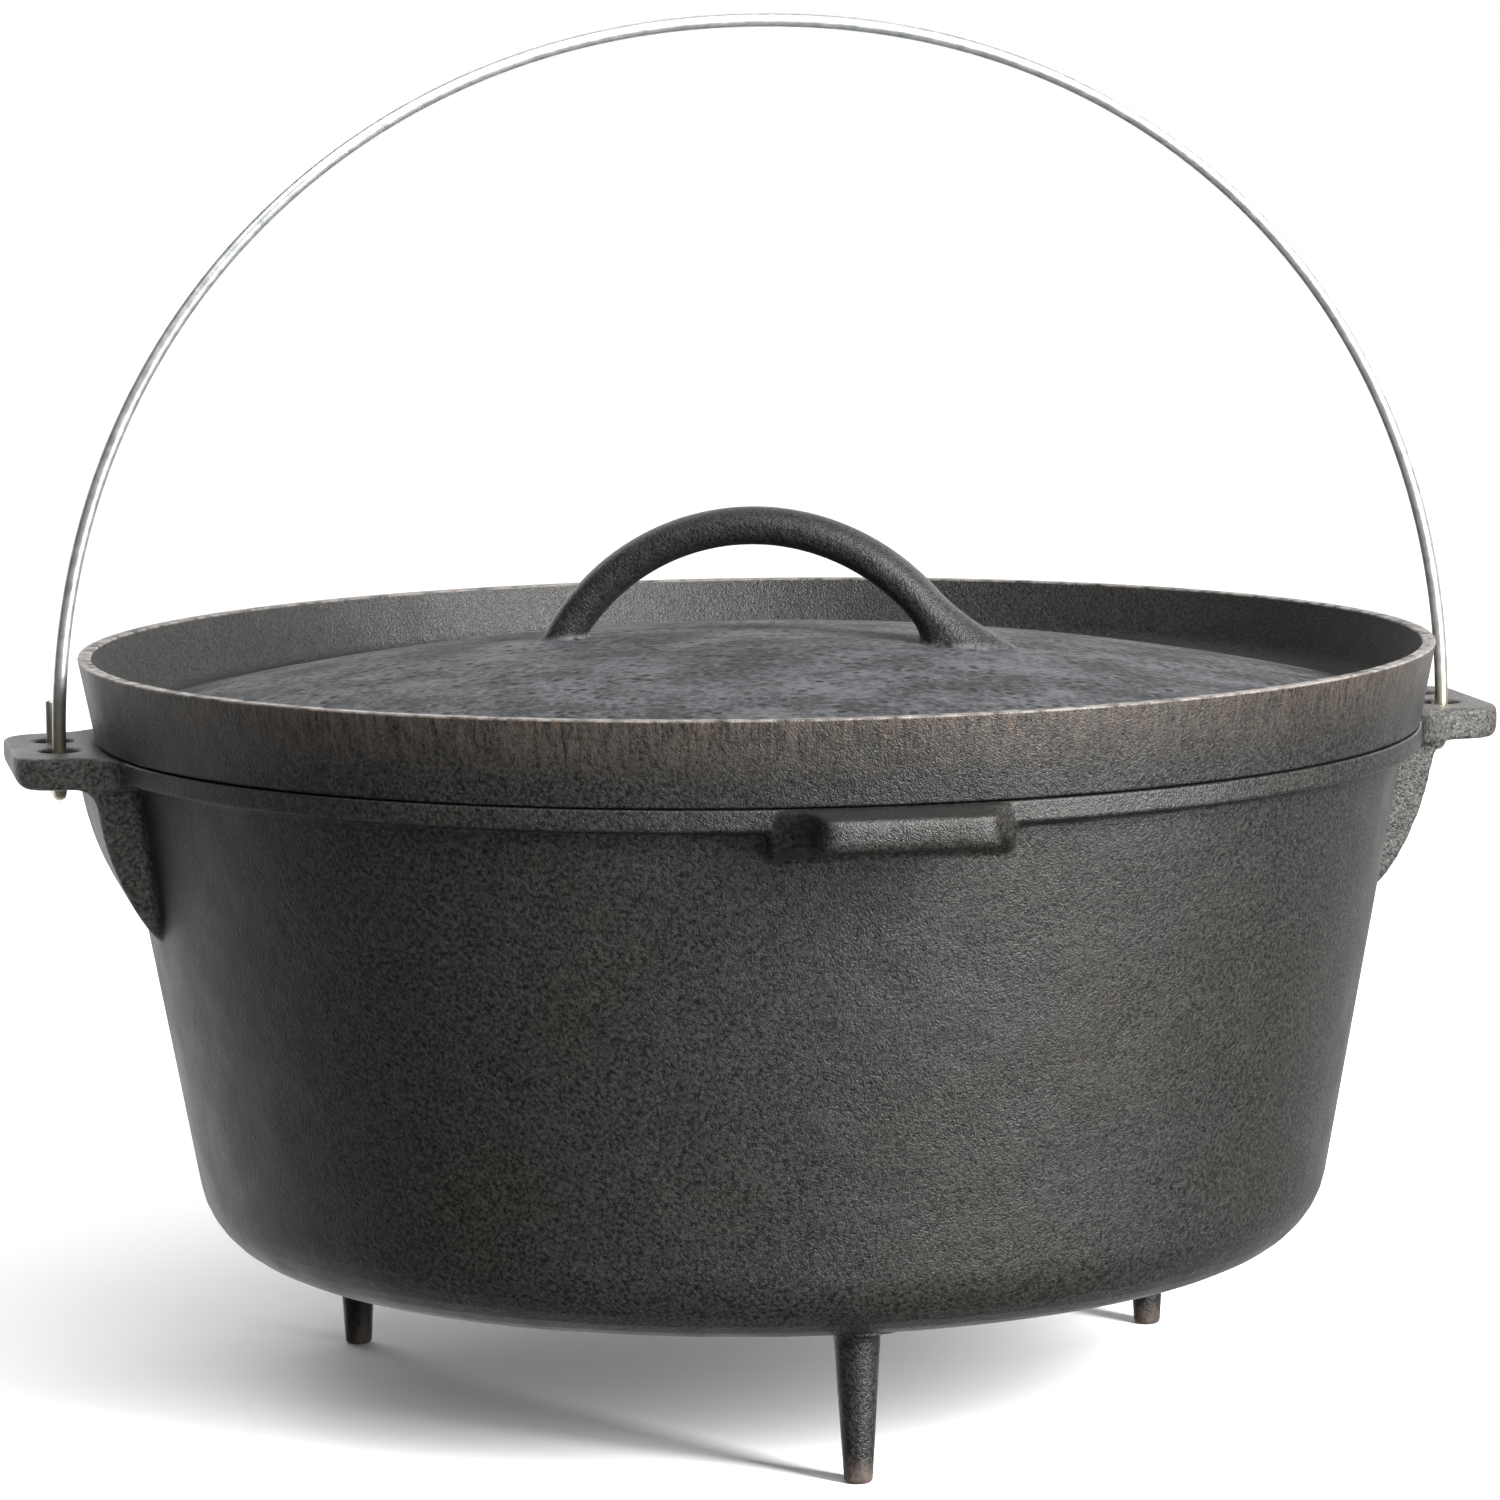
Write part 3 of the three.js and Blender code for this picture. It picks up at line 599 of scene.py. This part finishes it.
class Shader:
    """A small builder of one material's nodes."""

    def __init__(self, name):
        self.material = bpy.data.materials.new(name)
        self.material.use_nodes = True
        self.tree = self.material.node_tree
        self.principled = self.tree.nodes["Principled BSDF"]
        coordinates = self.tree.nodes.new("ShaderNodeTexCoord")
        self.place = self.scaled(coordinates.outputs["Object"], (1 / MM, 1 / MM, 1 / MM))

    def node(self, kind, **settings):
        made = self.tree.nodes.new(kind)
        for key, value in settings.items():
            setattr(made, key, value)
        return made

    def link(self, value, socket):
        """Feeds a socket from another socket or sets it to a constant."""
        if isinstance(value, bpy.types.NodeSocket):
            self.tree.links.new(value, socket)
        else:
            socket.default_value = value

    def scaled(self, vector, factors):
        """A vector with each coordinate multiplied by its own factor."""
        made = self.node("ShaderNodeVectorMath", operation="MULTIPLY")
        self.link(vector, made.inputs[0])
        self.link(factors, made.inputs[1])
        return made.outputs[0]

    def math(self, operation, a, b=0.0):
        made = self.node("ShaderNodeMath", operation=operation)
        self.link(a, made.inputs[0])
        self.link(b, made.inputs[1])
        return made.outputs[0]

    def plus(self, a, b):
        return self.math("ADD", a, b)

    def minus(self, a, b):
        return self.math("SUBTRACT", a, b)

    def times(self, a, b):
        return self.math("MULTIPLY", a, b)

    def noise(self, scale, detail=2.0, roughness=0.5, place=None):
        """Noise of scale features per millimetre, from 0 to 1."""
        made = self.node("ShaderNodeTexNoise")
        self.link(place or self.place, made.inputs["Vector"])
        made.inputs["Scale"].default_value = scale
        made.inputs["Detail"].default_value = detail
        made.inputs["Roughness"].default_value = roughness
        return made.outputs["Fac"]

    def tilted(self):
        """The coordinates turned away from the axes, so that fine noise shows no lattice."""
        made = self.node("ShaderNodeVectorRotate", rotation_type="EULER_XYZ")
        self.link(self.place, made.inputs["Vector"])
        made.inputs["Rotation"].default_value = GRAIN_TILT
        return made.outputs["Vector"]

    def spots(self, scale, size, place=None):
        """1 in small scattered round spots and 0 elsewhere. size is a share of the cell."""
        made = self.node("ShaderNodeTexVoronoi", feature="F1")
        self.link(place or self.place, made.inputs["Vector"])
        made.inputs["Scale"].default_value = scale
        return self.ramp(made.outputs["Distance"], size, size * 0.45)

    def ramp(self, value, low, high):
        """0 at low and 1 at high, straight between them and held beyond."""
        made = self.node("ShaderNodeMapRange", clamp=True)
        self.link(value, made.inputs["Value"])
        made.inputs["From Min"].default_value = low
        made.inputs["From Max"].default_value = high
        return made.outputs["Result"]

    def mix(self, factor, a, b):
        """A colour between a and b."""
        made = self.node("ShaderNodeMix", data_type="RGBA")
        self.link(factor, made.inputs["Factor"])
        for value, socket in ((a, made.inputs["A"]), (b, made.inputs["B"])):
            self.link(value if isinstance(value, bpy.types.NodeSocket) else (*value, 1), socket)
        return made.outputs["Result"]

    def between(self, factor, a, b):
        """A number between a and b."""
        made = self.node("ShaderNodeMix", data_type="FLOAT")
        self.link(factor, made.inputs["Factor"])
        self.link(a, made.inputs["A"])
        self.link(b, made.inputs["B"])
        return made.outputs["Result"]

    def bump(self, height, depth):
        """The normal of a surface on which a height of 1 stands for depth millimetres."""
        made = self.node("ShaderNodeBump")
        self.link(height, made.inputs["Height"])
        made.inputs["Distance"].default_value = depth * MM
        return made.outputs["Normal"]

    def parts(self):
        """The radius from the object's axis and the three coordinates, in millimetres."""
        split = self.node("ShaderNodeSeparateXYZ")
        self.link(self.place, split.inputs[0])
        x, y, z = split.outputs
        squares = self.plus(self.times(x, x), self.times(y, y))
        return self.math("SQRT", squares), x, y, z

    def finish(self, colour, roughness, normal, **values):
        """The material, with its sockets fed and its plain values set."""
        shader = self.principled
        self.link(colour, shader.inputs["Base Color"])
        self.link(roughness, shader.inputs["Roughness"])
        self.link(normal, shader.inputs["Normal"])
        for name, value in values.items():
            shader.inputs[name].default_value = value
        return self.material


def sand_grain(shader):
    """The sand-cast skin: its height, its coarse grain alone, and the slow waves under it."""
    tilted = shader.tilted()
    coarse = shader.noise(1.05, detail=3.0, roughness=0.6, place=tilted)
    fine = shader.noise(2.2, detail=2.0, roughness=0.6, place=tilted)
    slow = shader.noise(0.07, detail=2.0)
    grain = shader.plus(shader.times(coarse, COARSE_SHARE), shader.times(fine, FINE_SHARE))
    return shader.plus(grain, slow), coarse, slow


def lug_mask(shader, radius, x, z):
    """1 on the ears and their gussets, which stand out from the band and from the wall."""
    wall_at_ground = POT_TOP_RADIUS - BAND_BOTTOM_Z * WALL_SLOPE
    wall = shader.plus(shader.times(z, WALL_SLOPE), wall_at_ground)
    proud = shader.minus(radius, wall)
    ear_plate = shader.ramp(proud, BAND_PROUD + 0.4, BAND_PROUD + 2.5)
    below_band = shader.ramp(z, BAND_BOTTOM_Z - 1, BAND_BOTTOM_Z - 3)
    gusset = shader.times(shader.ramp(proud, 0.6, 2.0), below_band)
    at_ears = shader.ramp(shader.math("ABSOLUTE", x), 100, 130)
    return shader.times(shader.math("MAXIMUM", ear_plate, gusset), at_ears)


def pot_material():
    """Seasoned black iron: grainy satin skin, brown in places, with rusty leg tips."""
    shader = Shader("seasoned_iron")
    radius, x, _, z = shader.parts()
    grain, coarse, slow = sand_grain(shader)
    tone = shader.ramp(coarse, *TONE_RANGE)
    black = shader.mix(tone, *SEASONED_BLACK)
    brown = shader.mix(tone, *SEASONED_BROWN)
    browned = shader.ramp(shader.noise(0.018, detail=3.0), 0.48, 0.72)
    colour = shader.mix(browned, black, brown)

    # The ears and their gussets keep a coarser, paler sand skin.
    lug = lug_mask(shader, radius, x, z)
    colour = shader.mix(lug, colour, shader.mix(tone, *SAND_SKIN))
    grain = shader.times(grain, shader.between(lug, 1.0, LUG_GRAIN))

    # Rust covers the leg tips up to an uneven line.
    uneven_z = shader.plus(z, shader.times(shader.noise(0.5), RUST_WANDER))
    rusted = shader.ramp(uneven_z, *RUST_HEIGHTS)
    colour = shader.mix(rusted, colour, shader.mix(shader.noise(0.9), *RUST))

    roughness = shader.between(shader.ramp(slow, *SLOW_RANGE), *IRON_ROUGHNESS)
    roughness = shader.between(rusted, roughness, RUST_ROUGHNESS)
    normal = shader.bump(grain, GRAIN_DEPTH)
    return shader.finish(colour, roughness, normal, Metallic=0.0, IOR=IRON_IOR)


def plate_mask(shader, radius, z):
    """1 on the lid's domed plate, and 0 on its flange and its handle."""
    sag = shader.times(shader.times(radius, radius), 0.5 / DOME_RADIUS)
    above_dome = shader.plus(shader.minus(z, CROWN_Z), sag)
    within = shader.ramp(radius, DOME_EDGE_RADIUS, DOME_EDGE_RADIUS - 4)
    return shader.times(within, shader.ramp(above_dome, 1.6, 0.7))


def outer_mask(shader, radius, z):
    """1 on the flange's leaning outer face, and 0 inside it."""
    lean = LID_FLANGE_FLARE / LID_FLANGE_HEIGHT
    base = shader.minus(radius, shader.times(z, lean))
    face = LID_BASE_RADIUS - SEAT_Z * lean
    return shader.ramp(base, face - 1.8, face - 1.0)


def lid_material():
    """The lid's iron: stained, pitted dome with a painted sheen, a painted highlight along its top
    edge, and upright marks on its flange.
    """
    shader = Shader("lid_iron")
    radius, _, y, z = shader.parts()
    grain, coarse, slow = sand_grain(shader)
    plate = plate_mask(shader, radius, z)
    outer = outer_mask(shader, radius, z)
    iron = shader.mix(shader.ramp(coarse, *TONE_RANGE), *SEASONED_BLACK)

    # The dome has mottled stains, painted lighter and bluish grey as a painted sheen. It is duller,
    # with a calmer grain and small dark pits.
    broad_stain = shader.noise(0.045, detail=4.0, roughness=0.6)
    speck = shader.noise(0.5, detail=4.0, roughness=0.75)
    stain = shader.plus(shader.times(broad_stain, 0.45), shader.times(speck, 0.55))
    dome_stains_and_sheen = shader.mix(shader.ramp(stain, 0.44, 0.58), *DOME_STAINS_AND_PAINTED_SHEEN)
    pits = shader.times(shader.spots(0.24, 0.36), shader.ramp(shader.noise(0.05), 0.36, 0.52))
    dome_stains_and_sheen = shader.mix(pits, dome_stains_and_sheen, PIT)
    pits = shader.times(pits, plate)
    colour = shader.mix(plate, iron, dome_stains_and_sheen)

    # The flange's outer face has faint upright marks, and a brown tint towards its top.
    stretched = shader.scaled(shader.place, (1, 1, STREAK_STRETCH))
    streaks = shader.noise(0.9, detail=3.0, roughness=0.65, place=stretched)
    upper = shader.times(outer, shader.ramp(z, SEAT_Z + 5, LID_RIM_Z - 1))
    browned = shader.times(upper, shader.ramp(streaks, *TONE_RANGE))
    colour = shader.mix(shader.times(browned, 0.7), colour, FLANGE_BROWN)

    # A painted highlight, in patches, along the lid's top edge.
    at_top = shader.ramp(z, LID_RIM_Z - 0.6, LID_RIM_Z - 0.2)
    edge = shader.times(shader.ramp(radius, 158, 160), at_top)
    top_edge_highlight = shader.times(edge, shader.ramp(shader.noise(0.3, detail=3.0), 0.3, 0.6))
    colour = shader.mix(top_edge_highlight, colour, TOP_EDGE_HIGHLIGHT)

    # The flange's inside is dull at the front and sides, and satin at the back.
    roughness = shader.between(shader.ramp(slow, *SLOW_RANGE), *IRON_ROUGHNESS)
    inner_wall = shader.times(shader.ramp(radius, 150, 154), shader.minus(1.0, outer))
    inner_roughness = shader.between(shader.ramp(y, 70, 150), *INNER_WALL_ROUGHNESS)
    roughness = shader.between(inner_wall, roughness, inner_roughness)
    dome_roughness = shader.between(shader.ramp(stain, 0.42, 0.62), *DOME_ROUGHNESS)
    roughness = shader.between(plate, roughness, dome_roughness)
    roughness = shader.between(pits, roughness, PIT_ROUGHNESS)
    roughness = shader.between(top_edge_highlight, roughness, TOP_EDGE_ROUGHNESS)

    relief = shader.times(grain, shader.between(plate, 1.0, DOME_GRAIN))
    relief = shader.minus(relief, shader.times(pits, PIT_RELIEF))
    relief = shader.plus(relief, shader.times(shader.times(upper, streaks), STREAK_RELIEF))
    normal = shader.bump(relief, GRAIN_DEPTH)
    return shader.finish(colour, roughness, normal, Metallic=0.0, IOR=IRON_IOR)


def wire_material():
    """Galvanised wire: bright drawn zinc, a little cloudy, brassy at its ends."""
    shader = Shader("galvanised_wire")
    z = shader.parts()[-1]
    cloud = shader.noise(0.35, detail=3.0)
    colour = shader.mix(shader.ramp(cloud, *SLOW_RANGE), *ZINC)
    brassy = shader.times(shader.ramp(z, *BRASS_HEIGHTS), 0.7)
    colour = shader.mix(brassy, colour, BRASS)
    roughness = shader.between(cloud, *WIRE_ROUGHNESS)
    normal = shader.bump(cloud, WIRE_CLOUD_DEPTH)
    return shader.finish(colour, roughness, normal, Metallic=WIRE_METALLIC)


# ------------------------------------------------------------------ studio

CAMERA_TURN = math.radians(10.8)  # of the view about the pot's axis
CAMERA_DISTANCE = 1464.2  # mm from the axis
CAMERA_HEIGHT = 338.3
CAMERA_YAW = -0.0013  # radians, as the pitch and the roll
CAMERA_PITCH = 0.1228
CAMERA_ROLL = -0.0131
CAMERA_LENS = 143.3
CAMERA_SENSOR = 36.0

AIM_HEIGHT = 0.12  # metres, where the soft boxes point
WORLD_SPAN = (0.38, 0.95)  # of a direction's share towards +Y, over which the surround brightens
WORLD_STRENGTH = (0.045, 1.5)
WORLD_SEEN = 1.0
FLOOR_HALF_SIZE = 6.0  # metres
FLOOR_WHITE = (0.9, 0.9, 0.9)
FLOOR_ROUGHNESS = 0.8
CEILING_STRENGTH = 3.5
CEILING_SPREAD = math.radians(70)
CEILING_TILT = math.radians(30)


def make_camera():
    """The camera, low in front and turned a little to the left of the pot's tab."""
    forward = Vector((math.sin(CAMERA_YAW) * math.cos(CAMERA_PITCH),
                      math.cos(CAMERA_YAW) * math.cos(CAMERA_PITCH), -math.sin(CAMERA_PITCH)))
    right = Vector((math.cos(CAMERA_YAW), -math.sin(CAMERA_YAW), 0))
    up = right.cross(forward)
    rolled_right = math.cos(CAMERA_ROLL) * right + math.sin(CAMERA_ROLL) * up
    rolled_up = -math.sin(CAMERA_ROLL) * right + math.cos(CAMERA_ROLL) * up
    turn = Matrix.Rotation(-CAMERA_TURN, 3, "Z")
    basis = turn @ Matrix((rolled_right, rolled_up, -forward)).transposed()
    data = bpy.data.cameras.new("camera")
    data.lens = CAMERA_LENS
    data.sensor_width = CAMERA_SENSOR
    camera = bpy.data.objects.new("camera", data)
    place = turn @ Vector((0, -CAMERA_DISTANCE, CAMERA_HEIGHT)) * MM
    camera.matrix_world = Matrix.Translation(place) @ basis.to_4x4()
    bpy.context.scene.collection.objects.link(camera)
    bpy.context.scene.camera = camera
    return camera


def soft_light(name, azimuth, elevation, distance, size, power):
    """A soft box aimed at the pot. azimuth is in degrees from +X, seen from above."""
    a, e = math.radians(azimuth), math.radians(elevation)
    away = Vector((math.cos(a) * math.cos(e), math.sin(a) * math.cos(e), math.sin(e)))
    middle = Vector((0, 0, AIM_HEIGHT))
    data = bpy.data.lights.new(name, "AREA")
    data.shape = "RECTANGLE"
    data.size, data.size_y = size
    data.energy = power
    light = bpy.data.objects.new(name, data)
    light.location = middle + away * distance
    light.rotation_euler = away.to_track_quat("Z", "Y").to_euler()
    light.visible_camera = False
    bpy.context.scene.collection.objects.link(light)
    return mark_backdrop(light)


def make_world():
    """A white surround that the camera sees as it is, and that lights the pot from behind."""
    world = bpy.data.worlds.new("studio")
    bpy.context.scene.world = world
    world.use_nodes = True
    nodes, links = world.node_tree.nodes, world.node_tree.links
    background = nodes["Background"]
    background.inputs["Color"].default_value = (1, 1, 1, 1)
    coordinates = nodes.new("ShaderNodeTexCoord")
    split = nodes.new("ShaderNodeSeparateXYZ")
    depth = nodes.new("ShaderNodeMapRange")
    seen = nodes.new("ShaderNodeLightPath")
    strength = nodes.new("ShaderNodeMix")
    depth.inputs["From Min"].default_value, depth.inputs["From Max"].default_value = WORLD_SPAN
    depth.inputs["To Min"].default_value, depth.inputs["To Max"].default_value = WORLD_STRENGTH
    strength.inputs["B"].default_value = WORLD_SEEN
    links.new(coordinates.outputs["Generated"], split.inputs[0])
    links.new(split.outputs["Y"], depth.inputs["Value"])
    links.new(seen.outputs["Is Camera Ray"], strength.inputs["Factor"])
    links.new(depth.outputs["Result"], strength.inputs["A"])
    links.new(strength.outputs["Result"], background.inputs["Strength"])


def make_floor():
    """A white floor that takes the shadows and is kept out of the iron's reflections."""
    mesh = bpy.data.meshes.new("floor")
    corners = [(x, y, 0) for x, y in ((-1, -1), (1, -1), (1, 1), (-1, 1))]
    mesh.from_pydata([Vector(corner) * FLOOR_HALF_SIZE for corner in corners], [], [(0, 1, 2, 3)])
    paint = bpy.data.materials.new("white_floor")
    paint.use_nodes = True
    shader = paint.node_tree.nodes["Principled BSDF"]
    shader.inputs["Base Color"].default_value = (*FLOOR_WHITE, 1)
    shader.inputs["Roughness"].default_value = FLOOR_ROUGHNESS
    mesh.materials.append(paint)
    floor = object_from(mesh)
    floor.visible_glossy = False


def make_ceiling():
    """A broad soft light from above, falling a little from the front."""
    data = bpy.data.lights.new("ceiling", "SUN")
    data.energy = CEILING_STRENGTH
    data.angle = CEILING_SPREAD
    ceiling = bpy.data.objects.new("ceiling", data)
    ceiling.rotation_euler = (CEILING_TILT, 0, 0)
    bpy.context.scene.collection.objects.link(ceiling)


def make_studio():
    """A pale floor in a white surround, a key soft box at the right front and two faint behind."""
    bpy.context.scene.view_settings.view_transform = "Standard"
    make_world()
    make_floor()
    make_ceiling()
    soft_light("back_left", azimuth=112, elevation=25, distance=1.8, size=(0.6, 1.0), power=4)
    soft_light("back_right", azimuth=40, elevation=25, distance=1.8, size=(0.6, 1.0), power=6)
    soft_light("key", azimuth=-54, elevation=20, distance=1.6, size=(0.4, 1.1), power=118)


make_camera()
make_studio()
pot_piece(pot_material())
lid_piece(lid_material())
bail_piece(wire_material())
